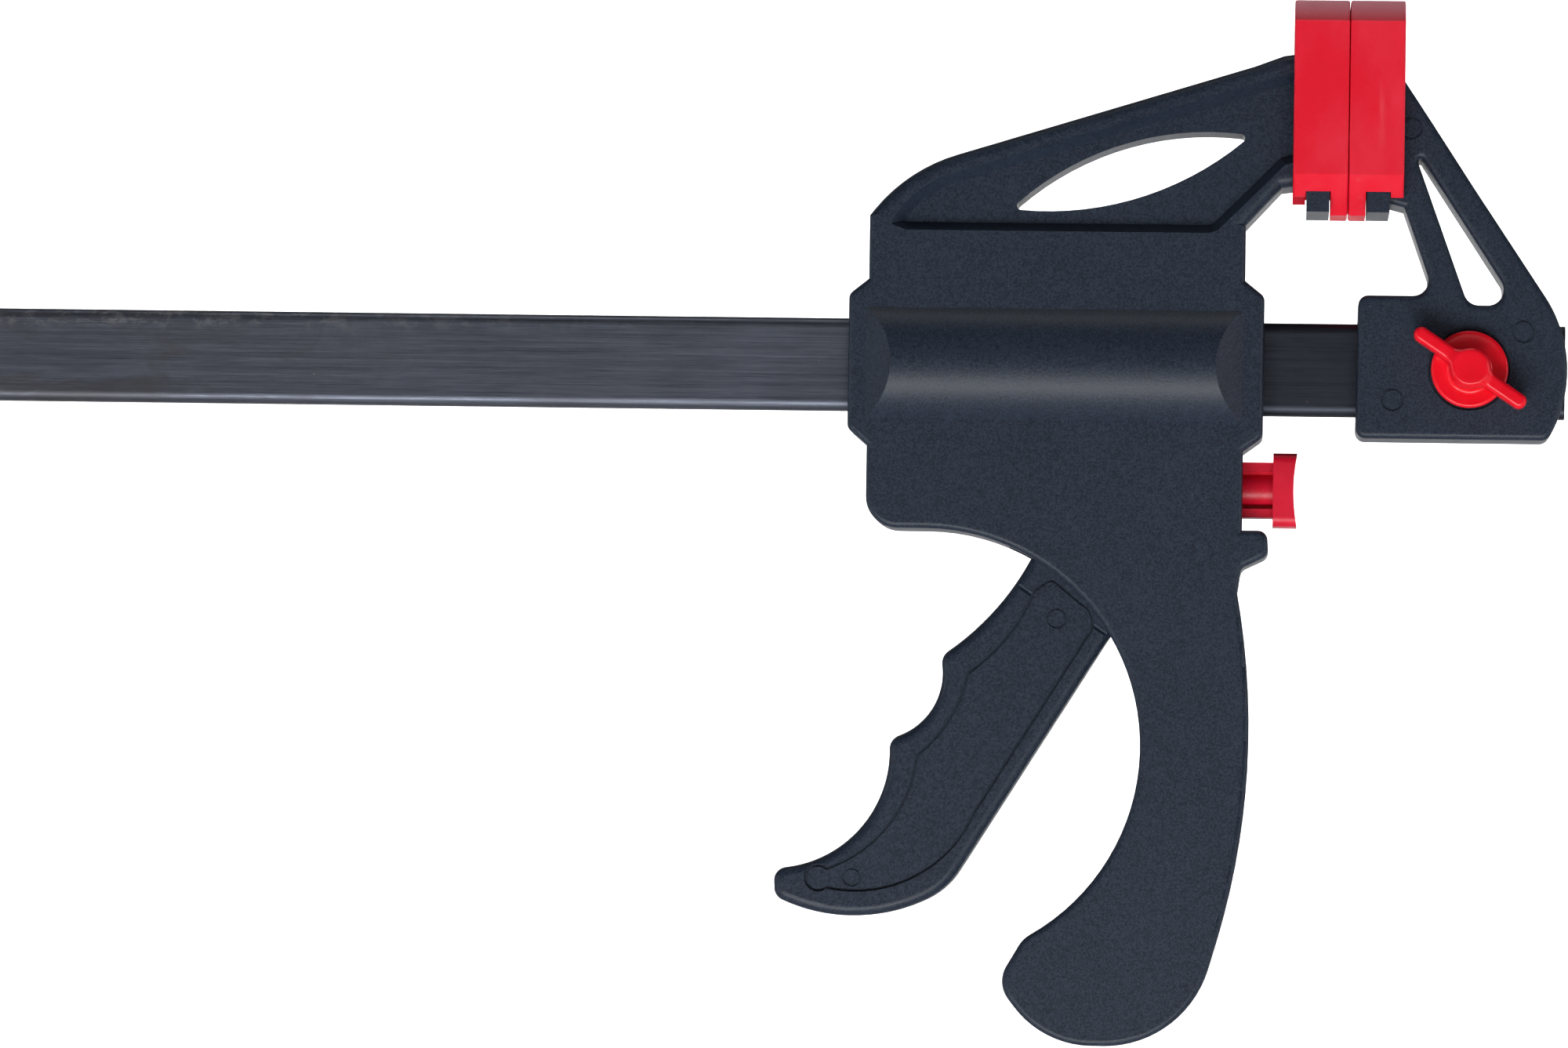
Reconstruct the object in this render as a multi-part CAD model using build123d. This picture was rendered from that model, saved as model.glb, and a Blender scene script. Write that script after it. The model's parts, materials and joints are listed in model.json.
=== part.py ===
from build123d import *
from math import cos, hypot, radians, tan
import os

# One-handed bar clamp with a trigger, a quick release and an interchangeable fixed jaw.
# Millimetres. X runs along the bar towards the fixed jaw, Z points up to the pads and Y to the back.
# The origin is on the bar's centre line, at the working face of the fixed pad.

# ---- Driving dimensions -------------------------------------------------------------------------

# Bar
bar_length = 609.6
bar_height = 19.05
bar_thickness = 6.0
bar_edge_radius = 2.0
bar_overhang = 44.6  # from the fixed pad's face to the bar's near end
bar_hole_radius = 3.25
bar_hole_from_end = 19.6
bar_clearance = 0.15

# Jaws and pads
jaw_reach = 75.0  # bar centre line to the top of the pads
pad_height = 43.7
pad_width = 30.0
pad_face_thickness = 3.5
pad_depth = 11.2
pad_corner = 4.5
pad_bottom_corner = 7.8
pad_back_rise = 3.5
pad_gap = 0.15
jaw_plate_thickness = 4.6
jaw_plate_width = 23.0
pad_clearance = 0.25

# Body
body_thickness = 19.0
shell_wall = 2.8
head_left = -97.6
head_right = -20.8
head_foot_drop = 24.2  # below the bar's lower edge
flange_step = 4.0
flange_margin = 4.9  # flange height above and below the bar
edge_round = 1.2
arm_edge_round = 2.2
grip_drop = 12.3  # from the head's foot to the top of the grip
grip_length = 92.7
trigger_side_clearance = 0.4
plate_side_clearance = 0.5
web_depth = 3.2
web_slant = 30.0

# Trigger and drive
trigger_panel_depth = 0.35
trigger_line_depth = 0.9
trigger_line_half = 0.3
trigger_round = 1.9
pivot_x = -45.6
pivot_drop = 14.5  # below the bar's lower edge
pivot_pin_radius = 2.5
pivot_clearance = 0.05
pivot_hub_radius = 6.4
plate_thickness = 3.0
drive_plate_rise = 6.5  # above the bar's upper edge
drive_slot_clearance = 0.2
drive_stroke = 4.2
nose_gap = 0.25

# Drive spring
spring_wire_radius = 0.8
spring_bar_clearance = 0.5
spring_turns = 8
spring_bore_clearance = 0.5
boss_wall = 2.2

# Brake and release
brake_x = -30.1
brake_pivot_rise = 6.0  # above the bar's upper edge
brake_tilt = 4.0
brake_slot_clearance = 0.45
brake_tail_drop = 19.5  # below the bar's lower edge
button_drop = 15.3  # below the bar's lower edge
button_stem_height = 11.3
button_stem_width = 7.0
button_cap_height = 15.1
button_cap_width = 12.0
button_cap_x = -14.6
button_cap_thickness = 5.1
button_clearance = 0.25
brake_spring_radius = 1.9
brake_spring_wire = 0.4
brake_spring_turns = 6
brake_spring_left = -39.8

# Fasteners
screw_shank_radius = 1.5
screw_length = 10.0
screw_head_radius = 2.8
screw_head_height = 2.0
screw_clearance = 0.2
post_radius = 4.6

# Fixed jaw and its wing screw
jaw_thickness = 17.5
jaw_left = 2.0
jaw_hole_radius = 3.2
wing_screw_radius = 3.0
knob_flange_radius = 7.85
knob_flange_thickness = 2.2
knob_hub_radius = 4.0
knob_height = 8.6
wing_span = 27.0
wing_width = 3.1
wing_angle = 33.8
washer_radius = 7.2
washer_thickness = 1.0
knob_seat_depth = 0.8
nut_across_flats = 10.0
nut_thickness = 3.2
nut_recess = 3.3

# ---- Derived places -----------------------------------------------------------------------------

bar_half = bar_height / 2
bar_side = bar_thickness / 2
bar_right = bar_overhang
bar_left = bar_right - bar_length
bar_hole_x = bar_right - bar_hole_from_end
far_hole_x = bar_left + bar_hole_from_end

body_half = body_thickness / 2
channel_half = body_half - shell_wall
trigger_half = channel_half - trigger_side_clearance
plate_half = channel_half - plate_side_clearance
web_floor = body_half - web_depth
head_foot = -bar_half - head_foot_drop
grip_top = head_foot - grip_drop
flange_half = bar_half + flange_margin
flange_left = head_left - flange_step
flange_right = head_right + flange_step

spring_inner = hypot(bar_half, bar_side) + spring_bar_clearance
spring_mean = spring_inner + spring_wire_radius
spring_bore = spring_mean + spring_wire_radius + spring_bore_clearance
boss_radius = spring_bore + boss_wall
mechanism_right = head_right - shell_wall
spring_bore_left = head_left + shell_wall + 2.0
room_left = head_left + shell_wall

pivot_z = -bar_half - pivot_drop
nose_top = -bar_half - 2.6
drive_plate_right = pivot_x - 4.8 - nose_gap
drive_plate_left = drive_plate_right - plate_thickness
drive_plate_top = bar_half + drive_plate_rise
drive_plate_foot = pivot_z + 5.2
drive_room_left = drive_plate_left - drive_stroke - 0.4

brake_pivot_z = bar_half + brake_pivot_rise
brake_top = brake_pivot_z + plate_thickness / 2
brake_foot = -bar_half - brake_tail_drop
mechanism_top = brake_top + 1.2
head_roof = bar_half + 16.3  # underside of the wall between the head's rooms and the arm
mechanism_foot = brake_foot - 1.2
button_z = -bar_half - button_drop
brake_lean = (brake_pivot_z - brake_foot) * tan(radians(brake_tilt))
stem_left = brake_x + plate_thickness / 2 + brake_lean + 0.3

screw_seat = web_floor
screw_tip = screw_seat - screw_length

jaw_half = jaw_thickness / 2
jaw_plate_left = -pad_gap - pad_face_thickness - jaw_plate_thickness - pad_clearance
jaw_plate_right = jaw_plate_left + jaw_plate_thickness
fixed_plate_left = pad_face_thickness + pad_clearance
fixed_plate_right = fixed_plate_left + jaw_plate_thickness
pad_foot = jaw_reach - pad_height
plate_top = jaw_reach - 3.0
plate_foot = pad_foot + 0.4
arm_end_top = jaw_reach - 9.8
arm_end_foot = pad_foot + 6.7
head_left_shoulder = arm_end_top - 34.9
head_right_shoulder = head_left_shoulder - 1.4
web_foot = head_left_shoulder - 1.2


# ---- Helpers ------------------------------------------------------------------------------------

def outline(start, *moves):
    """A closed XZ face.

    A move is an end point, a pair of a via point and an end point for an arc, or an end point
    alone in a tuple for an arc that leaves smoothly from the move before it.
    """
    edges = []
    here = start
    for move in moves:
        if not isinstance(move[0], tuple):
            edges.append(Line(here, move))
            here = move
        elif len(move) == 1:
            edges.append(TangentArc(here, move[0], tangent=edges[-1] % 1))
            here = move[0]
        else:
            edges.append(ThreePointArc(here, move[0], move[1]))
            here = move[1]
    if here != start:
        edges.append(Line(here, start))
    return make_face(edges)


def round_corners(face, radius, *corners):
    """Round the corners of an XZ face that lie at the given points."""
    near = [v for v in face.vertices() if any(hypot(v.X - x, v.Y - z) < 0.01 for x, z in corners)]
    return fillet(near, radius)


def slab(face, y_front, y_back):
    """Extrude a face drawn in X and Z between two Y values."""
    return Pos(0, y_back, 0) * extrude(Plane.XZ * face, amount=y_back - y_front, dir=(0, -1, 0))


def block(x0, x1, y0, y1, z0, z1):
    """A box given by its two corners."""
    return Pos((x0 + x1) / 2, (y0 + y1) / 2, (z0 + z1) / 2) * Box(x1 - x0, y1 - y0, z1 - z0)


def rod_x(radius, x0, x1, y=0.0, z=0.0):
    """A round bar along X."""
    return Pos((x0 + x1) / 2, y, z) * Rot(0, 90, 0) * Cylinder(radius, x1 - x0)


def rod_y(radius, y0, y1, x=0.0, z=0.0):
    """A round bar along Y."""
    return Pos(x, (y0 + y1) / 2, z) * Rot(90, 0, 0) * Cylinder(radius, y1 - y0)


def ring_y(outer, inner, y0, y1, x, z):
    """A ring with its axis along Y."""
    return rod_y(outer, y0, y1, x, z) - rod_y(inner, y0 - 1, y1 + 1, x, z)


def coil_x(mean_radius, wire_radius, turns, x0, x1, z=0.0):
    """A compression spring along X, between the planes x0 and x1."""
    length = x1 - x0 - 2 * wire_radius
    path = Helix(pitch=length / turns, height=length, radius=mean_radius)
    section = Plane(origin=path @ 0, z_dir=path % 0) * Circle(wire_radius)
    coil = sweep(section, path=path, is_frenet=True)
    return Pos(x0 + wire_radius, 0, z) * Rot(0, 90, 0) * coil


def from_pivot(x, z):
    """A point given by its distance from the trigger's pivot."""
    return (pivot_x + x, pivot_z + z)


def grip_point(x, share):
    """A point of the handle, by its share of the way down the grip."""
    return (x, grip_top - share * grip_length)


def ring_mark(x, z, radius, face_y, side):
    """A shallow ring groove as a moulding ejector leaves, cut into the face at face_y."""
    depth = 0.4
    y0, y1 = sorted((face_y + side * 0.5, face_y - side * depth))
    return ring_y(radius, radius - 0.55, y0, y1, x, z)


# ---- Body shells --------------------------------------------------------------------------------

def body_face():
    """Silhouette of the head, the jaw arm and the pistol grip."""
    chin = (head_left, head_foot)
    toe = grip_point(-69.6, 0.865)
    toe_top = grip_point(-64.2, 0.766)
    sole_front = grip_point(-60.0, 1.0)
    sole_back = grip_point(-31.1, 1.0)
    thumb_nub = [(-20.9, grip_top + 4.9), (-15.3, grip_top + 7.6), (-15.7, grip_top + 12.7)]
    flange_corners = [
        (flange_left, flange_half - 0.4), (flange_left, 1.0 - flange_half),
        (flange_right, 0.1 - flange_half), (flange_right, flange_half),
    ]
    face = outline(
        (jaw_plate_right, arm_end_top),
        (-13.5, arm_end_top - 1.4),
        (-19.4, arm_end_top - 3.6),
        (-80.0, arm_end_top - 22.3),
        ((head_left, head_left_shoulder),),
        (head_left, flange_half + 2.8),
        *flange_corners[:2],
        (head_left, -flange_half - 2.4),
        chin,
        (-85.3, head_foot),
        (toe_top,),
        toe,
        sole_front,
        sole_back,
        grip_point(-24.7, 0.762),
        (grip_point(-18.9, 0.330), (-21.6, grip_top)),
        *thumb_nub,
        (head_right, grip_top + 12.7),
        (head_right, -flange_half - 2.8),
        *flange_corners[2:],
        (head_right, flange_half + 3.2),
        (head_right, head_right_shoulder),
        (-13.6, arm_end_foot - 1.3),
        (jaw_plate_right, arm_end_foot),
    )
    face = round_corners(face, 2.0, *thumb_nub)
    face = round_corners(face, 6.4, chin)
    face = round_corners(face, 6.0, toe_top, toe)
    face = round_corners(face, 1.8, *flange_corners)
    face = round_corners(face, 20.0, sole_front)
    return round_corners(face, 22.0, sole_back)


def window_face(margin=0.0):
    """Lens-shaped opening through the jaw arm, grown by a margin."""
    face = outline(
        (-68.8, arm_end_top - 33.2),
        ((-44.5, arm_end_top - 19.3), (-20.0, arm_end_top - 17.6)),
        ((-42.3, arm_end_top - 30.5), (-68.8, arm_end_top - 33.2)),
    )
    face = fillet(face.vertices(), 0.9)
    return offset(face, margin) if margin else face


def web_face():
    """Floor of the sunken web round the arm's window, open towards the pad."""
    tail = (-90.6, web_foot + 0.3)
    face = outline(
        (-27.8, web_foot),
        (-13.9, arm_end_foot + 5.0),
        (-8.9, arm_end_foot + 6.4),
        (-8.9, arm_end_top - 6.2),
        (-12.0, arm_end_top - 7.0),
        (-80.0, arm_end_top - 27.9),
        (tail,),
        (-89.8, web_foot),
    )
    return round_corners(face, 2.5, (-27.8, web_foot))


def trigger_channel():
    """The room inside the shells in which the trigger swings, open at the front of the grip."""
    back = shell_wall
    face = outline(
        from_pivot(-pivot_hub_radius - 2.2, 8.0),
        from_pivot(-pivot_hub_radius - 2.2, -1.0),
        from_pivot(-21.7, -10.9),
        from_pivot(-26.4, -21.7),
        from_pivot(-14.4, -33.7),
        grip_point(-50.0, 0.33),
        grip_point(-53.0, 0.55),
        grip_point(-74.0, 0.78),
        grip_point(-72.0, 0.885),
        grip_point(-62.5, 0.898),
        (grip_point(-56.5, 0.942), grip_point(-48.5, 0.966)),
        (grip_point(-35.2, 0.913), grip_point(-24.7 - back, 0.752)),
        (grip_point(-18.9 - back, 0.330), (-21.6 - back, grip_top)),
        (mechanism_right, grip_top + 6.0),
        (mechanism_right, pivot_z + 8.0),
    )
    return slab(face, -channel_half, channel_half)


def screw_places():
    """X and Z of each shell screw."""
    return [
        (head_left + 9.4, 20.6),
        (head_left + 9.4, head_foot + 9.6),
        (head_right - 7.0, 24.6),
        (head_right - 7.2, grip_top + 5.6),
        grip_point(-41.0, 0.885),
        (-16.9, arm_end_top - 13.6),
    ]


def outer_edges(solid, y=-body_half):
    """The edges that lie in the outer face at y."""
    return solid.edges().filter_by_position(Axis.Y, y - 0.01, y + 0.01)


def rounded_front():
    """The front shell's silhouette, with a broader round along the arm's ribs than elsewhere."""
    far = 200.0
    above = outline(
        (-far, head_left_shoulder),
        (head_left, head_left_shoulder),
        (head_right, head_right_shoulder),
        (far, head_right_shoulder),
        (far, far),
        (-far, far),
    )
    whole = slab(body_face(), -body_half, 0)
    upper = slab(above, -body_half - 1, 1)
    arm = whole & upper
    seam = [e for e in outer_edges(arm) if e.bounding_box().max.Z <= head_left_shoulder + 0.01]
    arm = fillet([e for e in outer_edges(arm) if e not in seam], arm_edge_round)
    return fillet(outer_edges(whole), edge_round) - upper + arm


def body_block():
    """Both shells as one block: silhouette, spring boss and jaw plate, with no inside."""
    front = rounded_front()
    boss = rod_x(boss_radius, head_left - 0.4, head_right - 0.4)
    slope = boss_radius - body_half
    for x, turn in ((head_left - 0.4, 1), (head_right - 0.4, -1)):
        wedge = outline((x, 0), (x, -slope - 4), (x + turn * (slope + 4), -slope - 4))
        boss -= Pos(0, -body_half, -40) * extrude(wedge, amount=80, dir=(0, 0, 1))
    boss &= block(flange_left, flange_right, -boss_radius, 0, -boss_radius, boss_radius)
    front += boss
    plate = block(jaw_plate_left, jaw_plate_right, -jaw_plate_width / 2, 0, plate_foot, plate_top)
    top_corner = plate.edges().filter_by(Axis.X).group_by(Axis.Y)[0].sort_by(Axis.Z)[-1]
    front += chamfer(top_corner, 3.0)
    front -= slab(window_face(), -body_half - 1, 1)
    web = Plane.XZ * web_face()
    front -= Pos(0, -web_floor, 0) * extrude(web, amount=web_depth + 0.01, taper=-web_slant)
    return front


def channel_room(x0, x1, z0, z1):
    """A box as deep as the inside of the shells."""
    return block(x0, x1, -channel_half, channel_half, z0, z1)


def cavity():
    """Everything hollow inside the two shells, on both sides of the joint plane."""
    rib = shell_wall
    room = rod_x(spring_bore, spring_bore_left, drive_plate_left)
    room += channel_room(drive_room_left, mechanism_right, pivot_z, mechanism_top)
    room += channel_room(brake_x - 5, mechanism_right, mechanism_foot, mechanism_top)
    room += trigger_channel()
    room += channel_room(room_left, drive_room_left - rib, spring_bore + rib, head_roof)
    foot_room = outline(
        (room_left, -spring_bore - rib),
        (drive_room_left - rib, -spring_bore - rib),
        (drive_room_left - rib, pivot_z - 0.5),
        (drive_room_left - rib - 7.0, head_foot + rib),
        (room_left, head_foot + rib),
    )
    room += slab(foot_room, -channel_half, channel_half)
    web_pocket = slab(offset(web_face(), -1.6), shell_wall - web_floor, web_floor - shell_wall)
    room += web_pocket - slab(window_face(shell_wall), -body_half, body_half)
    for x, z in screw_places():
        room -= rod_y(post_radius, -body_half, body_half, x, z)
    room += block(
        flange_left - 1, flange_right + 1,
        -bar_side - bar_clearance, bar_side + bar_clearance,
        -bar_half - bar_clearance, bar_half + bar_clearance,
    )
    stem_half = button_stem_height / 2 + button_clearance
    stem_side = button_stem_width / 2 + button_clearance
    room += block(
        mechanism_right - 1, head_right + 1,
        -stem_side, stem_side,
        button_z - stem_half, button_z + stem_half,
    )
    return room


def brake_ribs():
    """Ribs that hold the top of the brake plate and carry the foot of the brake spring."""
    half = plate_thickness / 2 + 0.35
    ribs = []
    for side in (-1, 1):
        x = brake_x + side * (half + 0.9)
        ribs.append(channel_room(x - 0.9, x + 0.9, brake_pivot_z - 1.0, mechanism_top + 0.5))
    seat_z = brake_spring_z()
    ribs.append(channel_room(brake_spring_left - 1.6, brake_spring_left - 0.1, seat_z - 3.2, seat_z + 3.0))
    return ribs


def brake_spring_z():
    """Height of the brake spring, just below the bar."""
    return -bar_half - brake_spring_radius - brake_spring_wire - 3.6


def shell(side):
    """One body shell. side is -1 for the front and 1 for the back."""
    half = body_block() - cavity()
    for rib in brake_ribs():
        half += rib & block(-60, 0, -body_half, 0, -60, 60)
    half -= rod_y(pivot_pin_radius, -channel_half - 2.0, 0, pivot_x, pivot_z)
    if side > 0:
        half = mirror(half, about=Plane.XZ)
    for x, z in screw_places():
        if side < 0:
            half -= rod_y(screw_shank_radius, screw_tip - 0.5, 1, x, z)
        else:
            half -= rod_y(screw_shank_radius + screw_clearance, -1, body_half, x, z)
            half -= rod_y(screw_head_radius + screw_clearance, screw_seat, body_half + 1, x, z)
    return half


def shell_screws():
    """Six identical pan-head screws, driven from the back."""
    screws = []
    for x, z in screw_places():
        head = rod_y(screw_head_radius, screw_seat, screw_seat + screw_head_height, x, z)
        head = fillet(head.edges().group_by(Axis.Y)[-1], 0.7)
        shank = rod_y(screw_shank_radius, screw_tip, screw_seat, x, z)
        cross = block(x - 1.5, x + 1.5, screw_seat + 0.9, screw_seat + 3, z - 0.35, z + 0.35)
        cross += block(x - 0.35, x + 0.35, screw_seat + 0.9, screw_seat + 3, z - 1.5, z + 1.5)
        screws.append(head + shank - cross)
    return Compound(children=screws)


# ---- Trigger, drive and brake -------------------------------------------------------------------

def trigger_face():
    """Side view of the trigger: hub, nose, neck, two finger scallops and the long lower scallop."""
    hub = pivot_hub_radius
    knuckles = [from_pivot(-36.4, -35.7), from_pivot(-46.7, -52.6)]
    tip_top = from_pivot(-69.9, -79.4)
    tip_foot = from_pivot(-69.6, -85.2)
    heel = from_pivot(-33.9, -82.6)
    face = outline(
        (pivot_x - 4.8, nose_top),
        (pivot_x - 4.8, pivot_z + 4.2),
        (pivot_x - hub, pivot_z),
        (pivot_x - hub - 1.0, pivot_z - 4.6),
        from_pivot(-17.4, -14.0),
        (from_pivot(-25.0, -25.6), knuckles[0]),
        (from_pivot(-38.3, -47.0), knuckles[1]),
        (from_pivot(-52.5, -71.3), tip_top),
        tip_foot,
        (from_pivot(-51.9, -88.9), heel),
        from_pivot(-1.4, -30.4),
        (pivot_x + hub, pivot_z),
        ((pivot_x + 4.5, pivot_z + 4.5), (pivot_x + 0.6, pivot_z + 6.4)),
        (pivot_x + 0.6, nose_top),
    )
    face = round_corners(face, 3.0, *knuckles)
    face = round_corners(face, 2.7, tip_top, tip_foot)
    return round_corners(face, 16.0, heel)


def trigger_panel():
    """The sunken panel in the trigger's side, a rim's width inside the outline."""
    top = from_pivot(-13.9, -19.6)
    face = outline(
        top,
        from_pivot(-7.8, -24.6),
        (from_pivot(-5.6, -27.0), from_pivot(-6.4, -31.2)),
        from_pivot(-29.0, -67.6),
        (from_pivot(-40.8, -80.6), from_pivot(-59.0, -83.2)),
        (from_pivot(-63.2, -81.8), from_pivot(-59.0, -79.4)),
        (from_pivot(-46.7, -70.6), from_pivot(-40.8, -56.0)),
        (from_pivot(-34.6, -49.0), from_pivot(-30.6, -39.0)),
        (from_pivot(-21.6, -30.0), from_pivot(-17.3, -22.0)),
    )
    return round_corners(face, 1.6, top)


def panel_line():
    """The fine groove round the trigger's panel."""
    return offset(trigger_panel(), trigger_line_half) - offset(trigger_panel(), -trigger_line_half)


def trigger_lever():
    half = trigger_half
    lever = slab(trigger_face(), -half, half)
    faces = lever.faces().filter_by(Axis.Y)
    low = grip_top + 1
    boxes = [(e, e.bounding_box()) for f in faces for e in f.edges()]
    rim = [e for e, box in boxes if box.max.Z < low and box.min.X < pivot_x - 14.4]
    lever = fillet(rim, trigger_round)
    for side in (-1, 1):
        floor = side * (half - trigger_panel_depth)
        y0, y1 = sorted((side * half, floor))
        lever -= slab(trigger_panel(), y0, y1)
        y0, y1 = sorted((side * half, side * (half - trigger_line_depth)))
        lever -= slab(panel_line(), y0, y1)
        for x, z in (from_pivot(-19.0, -22.0), from_pivot(-3.6, -30.0)):
            lever -= Pos(x, side * (half + 0.1), z) * Rot(0, 35, 0) * rod_x(0.55, -2.3, 2.3)
        lever -= ring_mark(*from_pivot(-12.7, -27.6), 2.15, floor, side)
        lever -= ring_mark(*from_pivot(-53.8, -81.0), 2.0, floor, side)
    return lever - rod_y(pivot_pin_radius + pivot_clearance, -half - 1, half + 1, pivot_x, pivot_z)


def trigger_pivot_pin():
    reach = channel_half + 2.0
    pin = rod_y(pivot_pin_radius, -reach, reach, pivot_x, pivot_z)
    return chamfer(pin.edges().filter_by(GeomType.CIRCLE), 0.4)


def slotted_plate(x, z_foot, z_top, clearance):
    """A steel plate across the bar, with a slot that the bar runs through."""
    half = plate_thickness / 2
    plate = block(x - half, x + half, -plate_half, plate_half, z_foot, z_top)
    plate = fillet(plate.edges().filter_by(Axis.X), 1.6)
    side = bar_side + clearance
    slot_half = bar_half + clearance
    return plate - block(x - plate_thickness, x + plate_thickness, -side, side, -slot_half, slot_half)


def drive_plate():
    x = drive_plate_left + plate_thickness / 2
    return slotted_plate(x, drive_plate_foot, drive_plate_top, drive_slot_clearance)


def brake_plate():
    """The plate's top edge is a full round, about which it rocks between its ribs."""
    nose = plate_thickness / 2
    plate = slotted_plate(brake_x, brake_foot, brake_pivot_z, brake_slot_clearance)
    plate += rod_y(nose, 1.6 - plate_half, plate_half - 1.6, brake_x, brake_pivot_z)
    hinge = Axis((brake_x, 0, brake_pivot_z), (0, 1, 0))
    return plate.rotate(hinge, -brake_tilt)


def drive_spring():
    left = spring_bore_left + 0.1
    return coil_x(spring_mean, spring_wire_radius, spring_turns, left, drive_plate_left - 0.1)


def brake_spring():
    z = brake_spring_z()
    lean = (brake_pivot_z - z - 2.5) * tan(radians(brake_tilt))
    plate_face = brake_x - plate_thickness / 2 + lean
    right = plate_face - 0.3
    return coil_x(brake_spring_radius, brake_spring_wire, brake_spring_turns, brake_spring_left, right, z)


def release_button():
    """Button with a collar inside the wall, a ribbed stem and a dished cap."""
    cap_right = button_cap_x + button_cap_thickness
    collar_right = mechanism_right - 0.2
    z0 = button_z - button_stem_height / 2
    z1 = button_z + button_stem_height / 2
    stem_side = button_stem_width / 2
    barrel = rod_x(stem_side, stem_left, button_cap_x + 0.5, 0, button_z)
    stem = barrel + block(stem_left, button_cap_x + 0.5, -1.5, 1.5, z0, z1)
    for z in (z0 + 0.9, z1 - 0.9):
        stem += block(collar_right - 1.1, button_cap_x + 0.5, -stem_side, stem_side, z - 0.9, z + 0.9)
    collar = block(collar_right - 1.1, collar_right, -5.0, 5.0, z0 - 0.9, z1 + 0.9)
    cap_z0 = button_z - button_cap_height / 2
    cap_z1 = button_z + button_cap_height / 2
    cap = block(button_cap_x, cap_right, -button_cap_width / 2, button_cap_width / 2, cap_z0, cap_z1)
    cap = fillet(cap.edges().filter_by(Axis.X), 2.0)
    dish = rod_y(40.0, -20, 20, cap_right + 40.0 - 0.9, button_z)
    return stem + collar + (cap - dish)


# ---- Bar and fixed jaw --------------------------------------------------------------------------

def bar():
    beam = block(bar_left, bar_right, -bar_side, bar_side, -bar_half, bar_half)
    beam = fillet(beam.edges().filter_by(Axis.X), bar_edge_radius)
    for x in (bar_hole_x, far_hole_x):
        beam -= rod_y(bar_hole_radius, -bar_side - 1, bar_side + 1, x)
    return beam


def jaw_face():
    """Silhouette of the fixed jaw."""
    top = bar_half + 5.5
    foot = -bar_half - 4.7
    armpit = (17.8, top)
    heel = (41.0, foot)
    face = outline(
        (jaw_left, foot),
        (jaw_left + 0.3, top),
        armpit,
        (11.4, jaw_reach - 42.0),
        (fixed_plate_left, jaw_reach - 40.0),
        (fixed_plate_left, jaw_reach - 14.2),
        (10.9, jaw_reach - 15.6),
        (16.1, jaw_reach - 23.4),
        (25.6, jaw_reach - 37.9),
        (40.3, top + 0.1),
        ((44.9, 0.8), heel),
    )
    face = round_corners(face, 3.2, armpit)
    return round_corners(face, 2.2, heel)


def jaw_window():
    """Long triangular opening through the fixed jaw's leg."""
    apex = (12.5, jaw_reach - 28.3)
    feet = [(24.6, bar_half + 3.7), (34.5, bar_half + 3.7)]
    face = round_corners(outline(apex, *feet), 3.2, *feet)
    return round_corners(face, 0.55, apex)


def rounded_jaw():
    """The jaw's body with round rims, as a front half and its mirror image."""
    half = slab(jaw_face(), -jaw_half, 0)
    left_corners = half.edges().filter_by(Axis.Y).filter_by_position(Axis.X, jaw_left - 0.1, jaw_left + 0.4)
    half = fillet(left_corners, 2.0)
    half -= slab(jaw_window(), -jaw_half - 1, 1)
    half = fillet(half.edges().filter_by_position(Axis.Y, -jaw_half - 0.01, -jaw_half + 0.01), edge_round)
    return half + mirror(half, about=Plane.XZ)


def fixed_jaw():
    plate_half = jaw_plate_width / 2
    plate = block(fixed_plate_left, fixed_plate_right, -plate_half, plate_half, plate_foot, plate_top)
    jaw = rounded_jaw() + chamfer(plate.edges().filter_by(Axis.X).group_by(Axis.Z)[-1], 3.0)
    jaw -= block(
        jaw_left - 1, bar_right + 1,
        -bar_side - bar_clearance, bar_side + bar_clearance,
        -bar_half - bar_clearance, bar_half + bar_clearance,
    )
    jaw -= rod_y(jaw_hole_radius, -jaw_half - 1, jaw_half + 1, bar_hole_x)
    jaw -= rod_y(knob_flange_radius + 0.5, -jaw_half - 1, knob_seat_depth - jaw_half, bar_hole_x)
    jaw -= Pos(0, jaw_half + 1, 0) * nut_prism(nut_recess + 1, nut_across_flats + 0.1)
    for x, z in ((35.9, 8.0), (9.4, -6.2), (12.6, jaw_reach - 25.7)):
        jaw -= ring_mark(x, z, 2.4, -jaw_half, -1)
    return jaw


def nut_prism(thickness, across_flats):
    """A hexagon round the wing screw, with its back face in the plane Y = 0."""
    corner_radius = across_flats / 2 / cos(radians(30))
    hexagon = Plane.XZ * (Pos(bar_hole_x, 0) * RegularPolygon(corner_radius, 6))
    return extrude(hexagon, amount=thickness, dir=(0, -1, 0))


def jaw_nut():
    back = jaw_half - nut_recess + nut_thickness
    nut = Pos(0, back, 0) * nut_prism(nut_thickness, nut_across_flats)
    return nut - rod_y(wing_screw_radius + 0.05, 0, jaw_half + 1, bar_hole_x)


def washer_back():
    """Y of the washer's back face, on the floor of the knob's seat."""
    return knob_seat_depth - jaw_half


def knob_washer():
    back = washer_back()
    return ring_y(washer_radius, wing_screw_radius + 0.05, back - washer_thickness, back, bar_hole_x, 0)


def knob_screw():
    """Headed stud, moulded into the wing knob."""
    seat = washer_back() - washer_thickness
    stud = rod_y(wing_screw_radius, seat, jaw_half - 0.2, bar_hole_x)
    stud = chamfer(stud.edges().group_by(Axis.Y)[-1], 0.6)
    head = Pos(0, seat, 0) * nut_prism(4.0, 6.0)
    return stud + head - rod_y(wing_screw_radius + 3, seat - 8, seat - 3.5, bar_hole_x)


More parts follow.
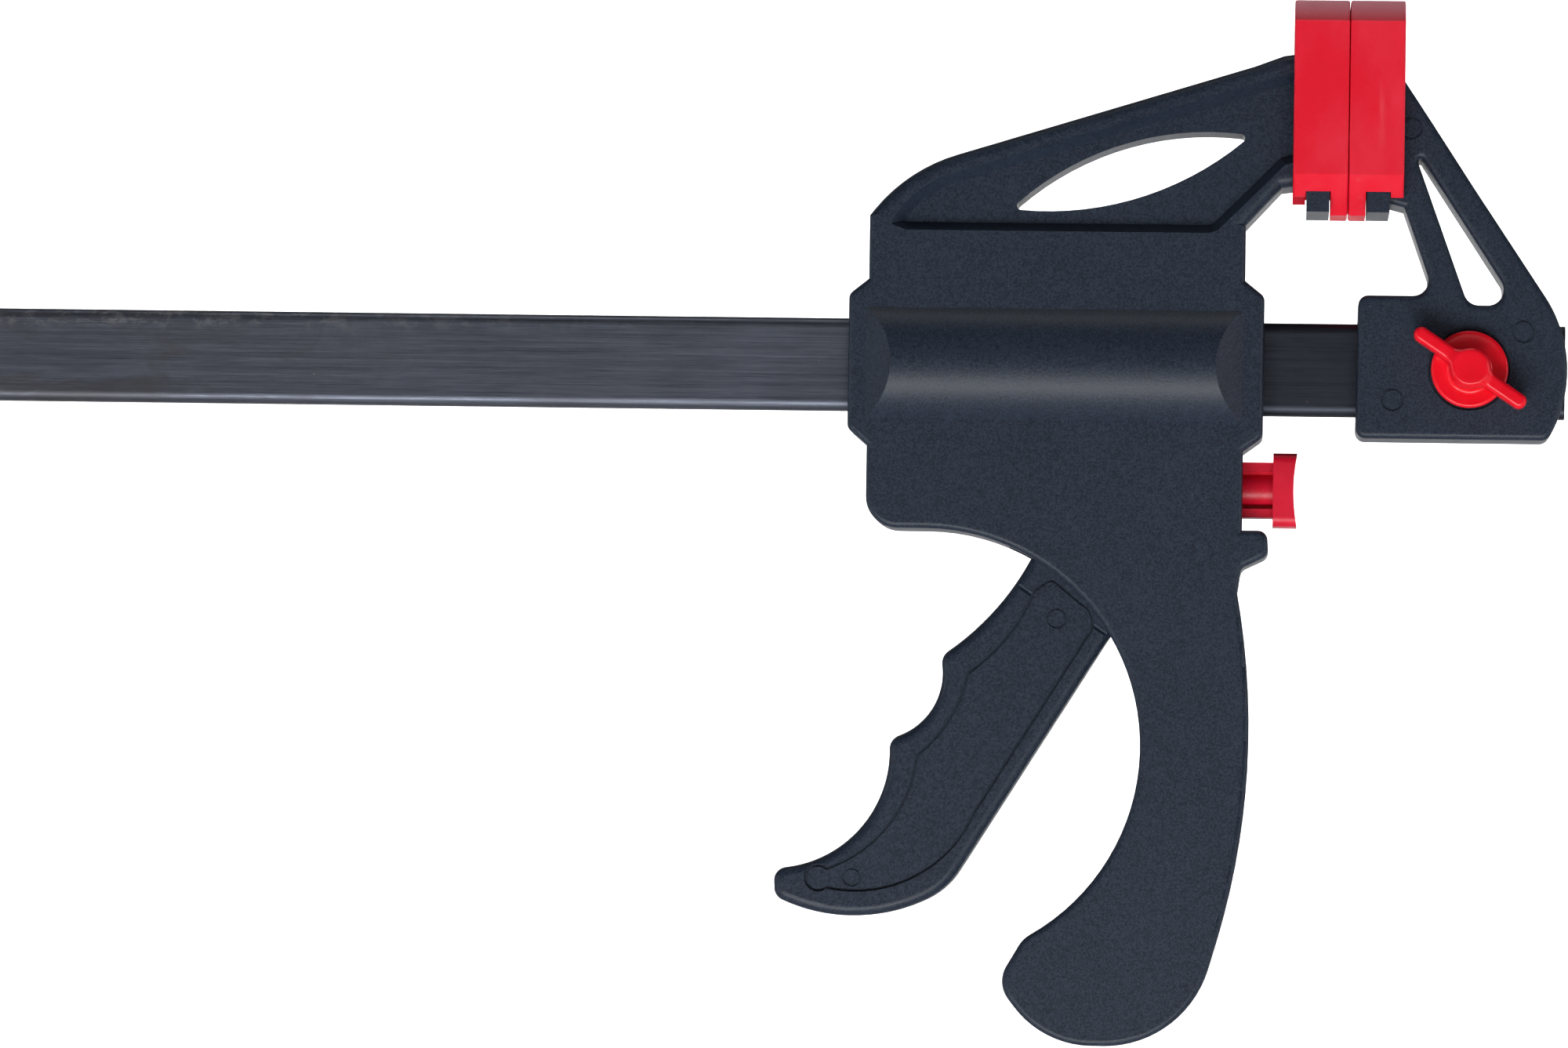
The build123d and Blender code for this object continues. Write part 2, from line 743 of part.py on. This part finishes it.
def wing_knob():
    seat = washer_back() - washer_thickness
    flange = rod_y(knob_flange_radius, seat - knob_flange_thickness, seat, bar_hole_x)
    flange = fillet(flange.edges().group_by(Axis.Y)[0], 0.6)
    hub = rod_y(knob_hub_radius, seat - knob_height, seat - 1, bar_hole_x)
    hub = fillet(hub.edges().group_by(Axis.Y)[0], 1.0)
    wing = Plane.XZ * SlotOverall(wing_span, wing_width)
    wing = extrude(wing, amount=knob_height - 3.2, dir=(0, -1, 0))
    wing = fillet(wing.edges().group_by(Axis.Y)[0], 0.7)
    wing = Pos(bar_hole_x, seat - 2.6, 0) * Rot(0, wing_angle, 0) * wing
    core = rod_y(wing_screw_radius, seat - 1, seat + 1, bar_hole_x) + Pos(0, seat, 0) * nut_prism(3.5, 6.0)
    return flange + hub + wing - core


# ---- Pads ---------------------------------------------------------------------------------------

def pad(face_x, away):
    """A push-on pad. face_x is its working face; away is -1 where the pad stands left of that face."""
    half = pad_width / 2
    chin = pad_bottom_corner
    octagon = Polyline(
        (-half, pad_foot + chin), (-half, jaw_reach - pad_corner),
        (pad_corner - half, jaw_reach), (half - pad_corner, jaw_reach),
        (half, jaw_reach - pad_corner), (half, pad_foot + chin),
        (half - chin, pad_foot), (chin - half, pad_foot), close=True,
    )
    back_x = face_x + away * pad_depth
    body = extrude(Plane.YZ * make_face(octagon), amount=pad_depth, dir=(1, 0, 0))
    body = Pos(min(face_x, back_x), 0, 0) * body
    body = fillet(body.edges().filter_by(Plane.YZ), 0.5)

    def span(start, end, y_half, z0, z1):
        """A box from start to end behind the working face, as wide as twice y_half."""
        x0, x1 = sorted((face_x + away * start, face_x + away * end))
        return block(x0, x1, -y_half, y_half, z0, z1)

    low = pad_foot - 1
    plate_back = pad_face_thickness + jaw_plate_thickness + 2 * pad_clearance
    neck_half = max(body_half, jaw_half) + pad_clearance
    body -= span(pad_face_thickness, plate_back, jaw_plate_width / 2 + pad_clearance, low, plate_top + 0.3)
    body -= span(plate_back - 0.1, pad_depth + 1, neck_half, low, jaw_reach - 5.0)
    return body - span(pad_face_thickness + 0.4, pad_depth + 1, half + 1, low, pad_foot + pad_back_rise)


# ---- Write the pieces ---------------------------------------------------------------------------

nodes = {
    "body_front_shell": shell(-1),
    "body_back_shell": shell(1),
    "shell_screws": shell_screws(),
    "trigger_lever": trigger_lever(),
    "trigger_pivot_pin": trigger_pivot_pin(),
    "drive_plate": drive_plate(),
    "drive_spring": drive_spring(),
    "brake_plate": brake_plate(),
    "brake_spring": brake_spring(),
    "release_button": release_button(),
    "bar": bar(),
    "fixed_jaw": fixed_jaw(),
    "jaw_nut": jaw_nut(),
    "knob_washer": knob_washer(),
    "knob_screw": knob_screw(),
    "wing_knob": wing_knob(),
    "moving_pad": pad(-pad_gap, -1),
    "fixed_pad": pad(0.0, 1),
}

os.makedirs("parts", exist_ok=True)
for name, shape in nodes.items():
    export_step(shape, f"parts/{name}.step")
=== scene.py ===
"""Looks of a one-handed bar clamp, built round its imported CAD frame. Metres, +X along the bar."""
import json
import math

import bpy
import bmesh
from mathutils import Matrix, Vector


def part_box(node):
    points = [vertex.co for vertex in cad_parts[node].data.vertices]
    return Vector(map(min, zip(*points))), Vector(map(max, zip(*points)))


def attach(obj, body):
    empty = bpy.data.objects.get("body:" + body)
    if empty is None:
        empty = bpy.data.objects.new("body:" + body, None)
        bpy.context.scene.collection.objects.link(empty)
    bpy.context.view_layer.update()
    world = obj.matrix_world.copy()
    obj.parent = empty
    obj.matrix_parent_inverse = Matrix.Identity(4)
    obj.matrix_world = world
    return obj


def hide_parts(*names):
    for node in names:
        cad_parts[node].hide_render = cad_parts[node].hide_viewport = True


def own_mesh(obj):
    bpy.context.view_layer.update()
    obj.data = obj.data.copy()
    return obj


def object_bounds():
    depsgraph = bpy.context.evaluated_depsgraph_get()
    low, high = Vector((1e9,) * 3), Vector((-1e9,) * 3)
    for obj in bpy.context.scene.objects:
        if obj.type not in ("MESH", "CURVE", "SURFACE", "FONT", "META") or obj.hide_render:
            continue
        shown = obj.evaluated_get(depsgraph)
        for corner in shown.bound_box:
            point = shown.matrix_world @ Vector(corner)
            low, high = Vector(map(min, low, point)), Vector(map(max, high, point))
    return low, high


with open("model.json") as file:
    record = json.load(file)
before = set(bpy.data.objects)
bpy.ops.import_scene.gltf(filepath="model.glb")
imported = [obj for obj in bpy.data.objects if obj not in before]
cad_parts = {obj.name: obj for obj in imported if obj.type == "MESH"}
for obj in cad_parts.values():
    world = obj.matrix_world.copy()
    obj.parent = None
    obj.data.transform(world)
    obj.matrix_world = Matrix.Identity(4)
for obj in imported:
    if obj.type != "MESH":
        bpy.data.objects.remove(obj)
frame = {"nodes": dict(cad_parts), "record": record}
cad_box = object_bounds()

# ---- Camera -------------------------------------------------------------------------------------

CAMERA_YAW = math.radians(3.2)  # to the right of the clamp's front
CAMERA_PITCH = math.radians(2.4)  # looking up
CAMERA_ROLL = math.radians(0.89)
CAMERA_DISTANCE = 1.766
CAMERA_LENS = 197.5
LOOK_AT = Vector((-0.1147, 0.0, -0.0329))


def make_camera():
    """A long lens in front of the clamp, a little below it and to the right."""
    data = bpy.data.cameras.new("camera")
    data.lens = CAMERA_LENS
    data.sensor_width = 36.0
    data.clip_start = 0.05
    data.clip_end = 50.0
    camera = bpy.data.objects.new("camera", data)
    bpy.context.scene.collection.objects.link(camera)
    ahead = Vector((
        -math.sin(CAMERA_YAW) * math.cos(CAMERA_PITCH),
        math.cos(CAMERA_YAW) * math.cos(CAMERA_PITCH),
        math.sin(CAMERA_PITCH),
    ))
    right = Vector((math.cos(CAMERA_YAW), math.sin(CAMERA_YAW), 0.0))
    up = right.cross(ahead)
    rolled_right = math.cos(CAMERA_ROLL) * right + math.sin(CAMERA_ROLL) * up
    rolled_up = rolled_right.cross(ahead)
    turn = Matrix((rolled_right, rolled_up, -ahead)).transposed().to_4x4()
    camera.matrix_world = Matrix.Translation(LOOK_AT - CAMERA_DISTANCE * ahead) @ turn
    bpy.context.scene.camera = camera


# ---- Material helpers ---------------------------------------------------------------------------

class Nodes:
    """Adds and links shader nodes in one new material."""

    def __init__(self, name):
        self.material = bpy.data.materials.new(name)
        self.material.use_nodes = True
        self.tree = self.material.node_tree
        self.shader = self.tree.nodes["Principled BSDF"]
        self.place = self.tree.nodes.new("ShaderNodeTexCoord").outputs["Object"]

    def link(self, source, node, socket):
        self.tree.links.new(source, node.inputs[socket])

    def scaled(self, x, y, z):
        """The object's own coordinates, stretched by three factors."""
        node = self.tree.nodes.new("ShaderNodeMapping")
        node.inputs["Scale"].default_value = (x, y, z)
        self.link(self.place, node, "Vector")
        return node.outputs["Vector"]

    def noise(self, scale, detail=3.0, roughness=0.5, vector=None, distortion=0.0):
        node = self.tree.nodes.new("ShaderNodeTexNoise")
        node.inputs["Scale"].default_value = scale
        node.inputs["Detail"].default_value = detail
        node.inputs["Roughness"].default_value = roughness
        node.inputs["Distortion"].default_value = distortion
        self.link(vector or self.place, node, "Vector")
        return node.outputs["Fac"]

    def specks(self, scale, size):
        """1 at scattered small dots, 0 elsewhere."""
        node = self.tree.nodes.new("ShaderNodeTexVoronoi")
        node.inputs["Scale"].default_value = scale
        self.link(self.place, node, "Vector")
        near = self.span(node.outputs["Distance"], size, size * 0.4, 0.0, 1.0)
        colour = self.tree.nodes.new("ShaderNodeSeparateColor")
        self.link(node.outputs["Color"], colour, "Color")
        chosen = self.span(colour.outputs["Red"], 0.90, 0.94, 0.0, 1.0)
        return self.math("MULTIPLY", near, chosen)

    def span(self, value, low, high, to_low, to_high):
        """Map a value's span to another, clamped."""
        node = self.tree.nodes.new("ShaderNodeMapRange")
        node.inputs["From Min"].default_value = low
        node.inputs["From Max"].default_value = high
        node.inputs["To Min"].default_value = to_low
        node.inputs["To Max"].default_value = to_high
        self.link(value, node, "Value")
        return node.outputs["Result"]

    def math(self, operation, a, b):
        node = self.tree.nodes.new("ShaderNodeMath")
        node.operation = operation
        for i, value in enumerate((a, b)):
            if isinstance(value, (int, float)):
                node.inputs[i].default_value = value
            else:
                self.tree.links.new(value, node.inputs[i])
        return node.outputs["Value"]

    def mix(self, factor, a, b):
        """Blend two colours. Each is a colour or a node's output."""
        node = self.tree.nodes.new("ShaderNodeMix")
        node.data_type = "RGBA"
        self.tree.links.new(factor, node.inputs[0])
        for i, value in ((6, a), (7, b)):
            if isinstance(value, tuple):
                node.inputs[i].default_value = (*value, 1.0)
            else:
                self.tree.links.new(value, node.inputs[i])
        return node.outputs[2]

    def bump(self, height, distance, strength=1.0, normal=None):
        node = self.tree.nodes.new("ShaderNodeBump")
        node.inputs["Distance"].default_value = distance
        node.inputs["Strength"].default_value = strength
        self.link(height, node, "Height")
        if normal:
            self.link(normal, node, "Normal")
        return node.outputs["Normal"]

    def axis(self, name):
        node = self.tree.nodes.new("ShaderNodeSeparateXYZ")
        self.link(self.place, node, "Vector")
        return node.outputs[name]

    def finish(self, colour, roughness, normal, **constants):
        self.link(colour, self.shader, "Base Color")
        self.link(roughness, self.shader, "Roughness")
        self.link(normal, self.shader, "Normal")
        for key, value in constants.items():
            self.shader.inputs[key.replace("_", " ")].default_value = value
        return self.material


def nylon(name, dark, light):
    """Moulded black nylon: a fine spark-eroded grain, faint mottling and a few pale dust specks."""
    n = Nodes(name)
    grain = n.noise(2600.0, 2.0, 0.6)
    cloud = n.noise(70.0, 4.0, 0.6)
    tone = n.math("ADD", n.span(grain, 0.34, 0.66, 0.0, 0.9), n.span(cloud, 0.35, 0.65, 0.0, 0.1))
    colour = n.mix(tone, dark, light)
    colour = n.mix(n.specks(420.0, 0.08), colour, (0.075, 0.08, 0.09))
    rough = n.span(grain, 0.35, 0.65, 0.36, 0.46)
    normal = n.bump(grain, 0.00006, 0.7)
    return n.finish(colour, rough, normal, Specular_IOR_Level=0.30)


PAD_TOP_HIGHLIGHT_DEPTH = 0.0048  # painted highlight: the depth of the lighter band along the top of the pads, standing in for the reflection of the bright top


def pad_rubber():
    """Matte red pad plastic, faintly bloomed and scuffed, with a painted highlight along the top of the
    pads.
    """
    n = Nodes("pad_red")
    bloom = n.noise(45.0, 5.0, 0.65, n.scaled(1.0, 1.0, 0.5))
    grain = n.noise(1500.0, 2.0)
    streak = n.noise(260.0, 3.0, 0.6, n.scaled(1.0, 1.0, 0.12))
    colour = n.mix(n.span(bloom, 0.38, 0.66, 0.0, 1.0), (0.84, 0.004, 0.024), (0.90, 0.030, 0.062))
    colour = n.mix(n.span(streak, 0.62, 0.74, 0.0, 0.35), colour, (0.90, 0.12, 0.15))
    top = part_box("moving_pad")[1][2]
    # painted highlight: a paler band along the pads' top edge, standing in for the reflection of the bright
    # top
    top_highlight = n.span(n.axis("Z"), top - PAD_TOP_HIGHLIGHT_DEPTH, top - 0.0005, 0.0, 0.9)
    colour = n.mix(top_highlight, colour, (0.95, 0.36, 0.42))
    rough = n.span(bloom, 0.3, 0.7, 0.42, 0.58)
    normal = n.bump(grain, 0.00004, 0.6)
    return n.finish(colour, rough, normal, Specular_IOR_Level=0.32)


def red_plastic(name, deep, bright, rough_low, rough_high, grain_depth):
    """Moulded red plastic for the knob and the button."""
    n = Nodes(name)
    cloud = n.noise(120.0, 3.0)
    grain = n.noise(1400.0, 2.0)
    colour = n.mix(n.span(cloud, 0.35, 0.65, 0.0, 1.0), deep, bright)
    rough = n.span(grain, 0.3, 0.7, rough_low, rough_high)
    normal = n.bump(grain, grain_depth, 0.5)
    return n.finish(colour, rough, normal, Specular_IOR_Level=0.36)


def blued_bar():
    """Blued flat bar: brushing along X, oil-stain patches, a scuffed upper edge, odd scratches and painted
    shade darkening its right end.
    """
    n = Nodes("blued_bar")
    brush = n.noise(1.0, 3.0, 0.7, n.scaled(28.0, 3200.0, 3200.0))
    fine = n.noise(1.0, 2.0, 0.6, n.scaled(160.0, 9000.0, 9000.0))
    stain = n.noise(1.0, 5.0, 0.62, n.scaled(30.0, 60.0, 75.0), 0.6)
    spot = n.noise(1.0, 4.0, 0.7, n.scaled(240.0, 400.0, 420.0))
    x = n.axis("X")
    z = n.axis("Z")
    worn = n.span(x, -0.12, -0.24, 0.0, 1.0)
    tone = n.math("ADD", n.span(brush, 0.30, 0.70, 0.0, 0.55), n.span(fine, 0.35, 0.65, 0.0, 0.30))
    colour = n.mix(tone, (0.058, 0.065, 0.088), (0.165, 0.180, 0.222))
    patch = n.math("MULTIPLY", n.span(stain, 0.48, 0.62, 0.0, 0.55), worn)
    colour = n.mix(patch, colour, (0.060, 0.052, 0.050))
    edge = n.math("MULTIPLY", n.span(z, 0.0050, 0.0078, 0.0, 1.0), n.span(spot, 0.50, 0.62, 0.0, 0.75))
    edge = n.math("MULTIPLY", edge, worn)
    colour = n.mix(edge, colour, (0.22, 0.225, 0.24))
    dots = n.specks(260.0, 0.07)
    colour = n.mix(dots, colour, (0.30, 0.27, 0.25))
    # painted shade: the bar turns darker towards its right end by the jaw, standing in for the dark
    # reflection it shows there
    colour = n.mix(n.span(x, -0.040, -0.015, 0.0, 0.75), colour, (0.012, 0.015, 0.024))
    rough = n.span(n.math("ADD", n.span(stain, 0.4, 0.6, 0.0, 0.5), brush), 0.3, 1.1, 0.34, 0.50)
    normal = n.bump(brush, 0.000025, 0.5)
    return n.finish(colour, rough, normal, Metallic=0.75)


def machined(name, dark, light, rough):
    """Ground or plated small steel parts."""
    n = Nodes(name)
    grind = n.noise(1.0, 3.0, 0.6, n.scaled(900.0, 2600.0, 900.0))
    cloud = n.noise(160.0, 4.0)
    colour = n.mix(n.span(n.math("ADD", grind, cloud), 0.7, 1.3, 0.0, 1.0), dark, light)
    normal = n.bump(grind, 0.00002, 0.4)
    return n.finish(colour, n.span(cloud, 0.3, 0.7, rough - 0.07, rough + 0.07), normal, Metallic=1.0)


# ---- Stage and light ----------------------------------------------------------------------------

FLOOR_DROP = 1.15  # below the lowest point of the clamp
STAGE_FLAT_RADIUS = 9.5
STAGE_COVE_RADIUS = 2.5
STAGE_HEIGHT = 6.0
WALL_RADIUS = STAGE_FLAT_RADIUS + STAGE_COVE_RADIUS
WALL_LIGHT_GAP = 3.4  # from the wall to the box that lights it
FLOOR_LIGHTS = 6
FLOOR_LIGHT_RADIUS = 4.6


def make_stage():
    """A pale floor that rises into a cove on every side, so it has no edge at any angle."""
    floor_z = cad_box[0][2] - FLOOR_DROP
    steps = 24
    profile = [(STAGE_FLAT_RADIUS, floor_z)]
    for i in range(1, steps + 1):
        angle = math.pi / 2 * i / steps
        profile.append((
            STAGE_FLAT_RADIUS + STAGE_COVE_RADIUS * math.sin(angle),
            floor_z + STAGE_COVE_RADIUS * (1 - math.cos(angle)),
        ))
    profile.append((profile[-1][0], floor_z + STAGE_HEIGHT))
    mesh = bpy.data.meshes.new("floor")
    bm = bmesh.new()
    around = 96
    centre = bm.verts.new((0.0, 0.0, floor_z))
    rings = []
    for radius, z in profile:
        ring = []
        for i in range(around):
            angle = 2 * math.pi * i / around
            ring.append(bm.verts.new((radius * math.cos(angle), radius * math.sin(angle), z)))
        rings.append(ring)
    for i in range(around):
        j = (i + 1) % around
        bm.faces.new((centre, rings[0][i], rings[0][j]))
        for low, high in zip(rings, rings[1:]):
            bm.faces.new((low[i], high[i], high[j], low[j]))
    for face in bm.faces:
        face.smooth = True
    bm.to_mesh(mesh)
    bm.free()
    floor = bpy.data.objects.new("floor", mesh)
    bpy.context.scene.collection.objects.link(floor)
    n = Nodes("stage_white")
    cloud = n.noise(1.5, 2.0)
    colour = n.mix(cloud, (0.90, 0.90, 0.90), (0.92, 0.92, 0.92))
    mesh.materials.append(n.finish(
        colour, n.span(cloud, 0.0, 1.0, 0.88, 0.92), n.bump(cloud, 0.0001, 0.1),
        Specular_IOR_Level=0.0,
    ))


def area_light(name, place, target, size, power, spread=180.0):
    """A soft box at place, aimed at target. Its spread is in degrees."""
    data = bpy.data.lights.new(name, "AREA")
    data.shape = "RECTANGLE"
    data.size, data.size_y = size
    data.energy = power
    data.spread = math.radians(spread)
    light = bpy.data.objects.new(name, data)
    bpy.context.scene.collection.objects.link(light)
    light.location = place
    light.rotation_euler = (Vector(target) - Vector(place)).to_track_quat("-Z", "Y").to_euler()
    light.visible_camera = False


def make_light():
    """A low front key, weak side, top and back boxes, and boxes that light only the stage."""
    aim = (-0.08, 0.0, -0.02)
    area_light("key_low_front", (-0.15, -1.25, -0.92), aim, (1.3, 0.5), 18.0)
    area_light("fill_right", (1.7, -0.5, 0.10), aim, (0.5, 1.0), 4.5)
    area_light("fill_left", (-1.9, -0.5, 0.10), aim, (0.5, 1.0), 3.5)
    area_light("top", (-0.1, -0.15, 1.9), aim, (1.0, 0.5), 4.0)
    area_light("back", (-0.9, 2.2, 1.3), aim, (1.2, 0.8), 4.0)
    wall_place = (0.0, WALL_RADIUS - WALL_LIGHT_GAP, 1.0)
    area_light("wall_back", wall_place, (0.0, WALL_RADIUS, 0.4), (7.0, 2.0), 170.0, 110.0)
    for i in range(FLOOR_LIGHTS):
        angle = 2 * math.pi * i / FLOOR_LIGHTS
        x, y = FLOOR_LIGHT_RADIUS * math.cos(angle), FLOOR_LIGHT_RADIUS * math.sin(angle)
        area_light(f"floor_{i}", (x, y, 1.6), (x, y, 0.0), (2.0, 2.0), 55.0, 105.0)
    world = bpy.data.worlds.new("studio")
    world.use_nodes = True
    world.node_tree.nodes["Background"].inputs["Color"].default_value = (0.9, 0.93, 1.0, 1.0)
    world.node_tree.nodes["Background"].inputs["Strength"].default_value = 0.06
    bpy.context.scene.world = world
    bpy.context.scene.view_settings.view_transform = "Standard"


# ---- Wing knob ----------------------------------------------------------------------------------

KNOB_HUB_RADIUS = 0.0042
KNOB_FRONT_RADIUS = 0.0032  # the level middle of the hub's front
WING_HALF = 0.00155
WING_BLEND = 0.0030  # concave round between wing and hub
WING_SLOPE = math.radians(33.8)
WING_BACK = 0.0024  # depths are measured forward from the knob's seat
WING_FRONT = 0.0080
WING_EDGE = 0.0010
KNOB_FLANGE_RADIUS = 0.00785
ARC_STEPS = 14


def add_face(bm, corners):
    """A face through the corners in order, without the ones that repeat where a row shrinks to a point."""
    unique = list(dict.fromkeys(corners))
    if len(unique) > 2:
        bm.faces.new(unique)


def wing_half_outline(reach):
    """Points and outward normals along one side of the wings, from one tip over the hub to the other."""
    tip_x = reach - WING_HALF
    blend_z = WING_HALF + WING_BLEND
    blend_x = math.sqrt((KNOB_HUB_RADIUS + WING_BLEND) ** 2 - blend_z ** 2)
    hub_angle = math.atan2(blend_z, blend_x)
    side = []
    for i in range(ARC_STEPS + 1):
        a = math.pi / 2 * i / ARC_STEPS
        side.append((tip_x + WING_HALF * math.cos(a), WING_HALF * math.sin(a), math.cos(a), math.sin(a)))
    for i in range(1, ARC_STEPS):
        side.append((tip_x + (blend_x - tip_x) * i / ARC_STEPS, WING_HALF, 0.0, 1.0))
    for i in range(ARC_STEPS + 1):
        a = -math.pi / 2 + (hub_angle - math.pi / 2) * i / ARC_STEPS
        normal = (-math.cos(a), -math.sin(a))
        side.append((blend_x - WING_BLEND * normal[0], blend_z - WING_BLEND * normal[1], *normal))
    for i in range(1, ARC_STEPS + 1):
        a = hub_angle + (math.pi / 2 - hub_angle) * i / ARC_STEPS
        side.append((KNOB_HUB_RADIUS * math.cos(a), KNOB_HUB_RADIUS * math.sin(a), math.cos(a), math.sin(a)))
    return side + [(-x, z, -nx, nz) for x, z, nx, nz in reversed(side[:-1])]


def crown(x, z, rise):
    """How far the hub's front stands before the wings' at a place: all of rise in its middle."""
    t = (math.hypot(x, z) - KNOB_FRONT_RADIUS) / (2 * WING_EDGE)
    t = min(max(t, 0.0), 1.0)
    return rise * (1 - t * t * (3 - 2 * t))


def add_wings(bm, reach, rise):
    """Both wings and the top of the hub: a rounded wall round the outline and a crowned front."""
    side = wing_half_outline(reach)
    outline = side + [(x, -z, nx, -nz) for x, z, nx, nz in reversed(side[1:-1])]
    levels = [(0.0005, WING_BACK), (0.00015, WING_BACK + 0.00015), (0.0, WING_BACK + 0.0005)]
    edge_steps = ARC_STEPS // 2
    for i in range(edge_steps + 1):
        a = math.pi / 2 * i / edge_steps
        levels.append((WING_EDGE * (1 - math.cos(a)), WING_FRONT - WING_EDGE * (1 - math.sin(a))))
    rings = []
    for inset, depth in levels:
        ring = []
        for x, z, nx, nz in outline:
            px, pz = x - inset * nx, z - inset * nz
            lift = crown(px, pz, rise) * (depth - WING_BACK) / (WING_FRONT - WING_BACK)
            ring.append(bm.verts.new((px, -depth - lift, pz)))
        rings.append(ring)
    count = len(outline)
    for low, high in zip(rings, rings[1:]):
        for i in range(count):
            j = (i + 1) % count
            bm.faces.new((low[i], low[j], high[j], high[i]))
    bm.faces.new(list(reversed(rings[0])))
    across = 8
    front = rings[-1]
    rows = [[front[0]] * (across + 1)]
    for i in range(1, len(side) - 1):
        top, bottom = front[i], front[count - i]
        row = [top]
        for k in range(1, across):
            place = top.co.lerp(bottom.co, k / across)
            row.append(bm.verts.new((place.x, -WING_FRONT - crown(place.x, place.z, rise), place.z)))
        rows.append(row + [bottom])
    rows.append([front[len(side) - 1]] * (across + 1))
    for left, right in zip(rows, rows[1:]):
        for k in range(across):
            add_face(bm, (left[k], right[k], right[k + 1], left[k + 1]))


def add_flange(bm):
    """The round flange with its slightly dished front, and the hub that rises from it."""
    edge = KNOB_FLANGE_RADIUS
    profile = (
        (0.0, 0.0), (edge - 0.0006, 0.0), (edge - 0.00015, 0.0002), (edge, 0.0006), (edge, 0.0016),
        (edge - 0.00008, 0.0019), (edge - 0.0003, 0.0021), (edge - 0.0006, 0.0022), (edge - 0.0009, 0.00213),
        (0.0057, 0.0019), (0.0049, 0.0019), (0.0044, 0.0021), (0.0041, 0.0026), (0.0040, 0.0034),
        (0.0040, 0.0070), (0.0, 0.0070),
    )
    around = 96
    turns = [2 * math.pi * i / around for i in range(around)]
    rings = []
    for radius, depth in profile:
        if radius == 0.0:
            rings.append([bm.verts.new((0.0, -depth, 0.0))] * around)
            continue
        rings.append([
            bm.verts.new((radius * math.cos(turn), -depth, radius * math.sin(turn)))
            for turn in turns
        ])
    for low, high in zip(rings, rings[1:]):
        for i in range(around):
            j = (i + 1) % around
            add_face(bm, (low[i], low[j], high[j], high[i]))


def make_knob(material):
    """The moulded wing knob, with softer rounds than its CAD solid, inside that solid's box."""
    low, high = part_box("wing_knob")
    centre_x = (low[0] + high[0]) / 2
    centre_z = (low[2] + high[2]) / 2
    reach = (high[0] - centre_x - WING_HALF) / math.cos(WING_SLOPE) + WING_HALF
    rise = high[1] - low[1] - WING_FRONT
    bm = bmesh.new()
    add_wings(bm, reach, rise)
    bmesh.ops.rotate(bm, verts=bm.verts, cent=(0, 0, 0), matrix=Matrix.Rotation(WING_SLOPE, 3, "Y"))
    add_flange(bm)
    bmesh.ops.translate(bm, verts=bm.verts, vec=(centre_x, high[1], centre_z))
    bmesh.ops.recalc_face_normals(bm, faces=bm.faces)
    for face in bm.faces:
        face.smooth = True
    mesh = bpy.data.meshes.new("wing_knob_moulding")
    bm.to_mesh(mesh)
    bm.free()
    mesh.materials.append(material)
    piece = bpy.data.objects.new("wing_knob_moulding", mesh)
    bpy.context.scene.collection.objects.link(piece)
    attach(piece, "wing_screw")
    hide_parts("wing_knob")


# ---- Springs ------------------------------------------------------------------------------------


def make_spring(node):
    """A copy of a CAD spring's solid in its place, attached to the clamp body, with the CAD part hidden."""
    solid = frame["nodes"][node]
    coil = bpy.data.objects.new(node + "_coil", solid.data.copy())
    coil.matrix_world = solid.matrix_world
    bpy.context.scene.collection.objects.link(coil)
    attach(coil, "clamp_body")
    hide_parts(node)
    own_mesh(coil)


def make_springs():
    make_spring("drive_spring")
    low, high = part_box("brake_spring")
    make_spring("brake_spring")


make_camera()
make_stage()
make_light()

MATERIALS = {
    "black_nylon": nylon("nylon_charcoal", (0.009, 0.013, 0.024), (0.028, 0.041, 0.066)),
    "red_pad": pad_rubber(),
    "red_knob": red_plastic("knob_red", (0.82, 0.003, 0.014), (0.92, 0.006, 0.022), 0.16, 0.26, 0.00001),
    "red_button": red_plastic("button_red", (0.60, 0.004, 0.024), (0.74, 0.010, 0.038), 0.30, 0.42, 0.00003),
    "blued_steel": blued_bar(),
    "hardened_steel": machined("plate_steel", (0.26, 0.26, 0.27), (0.40, 0.40, 0.41), 0.34),
    "spring_steel": machined("spring_wire", (0.16, 0.16, 0.17), (0.30, 0.30, 0.31), 0.30),
    "zinc_steel": machined("zinc_plate", (0.52, 0.52, 0.50), (0.72, 0.72, 0.69), 0.28),
}
for part in frame["record"]["subparts"]:
    mesh = frame["nodes"][part["node"]].data
    mesh.materials.clear()
    mesh.materials.append(MATERIALS[part["material_slot"]])
make_knob(MATERIALS["red_knob"])
make_springs()
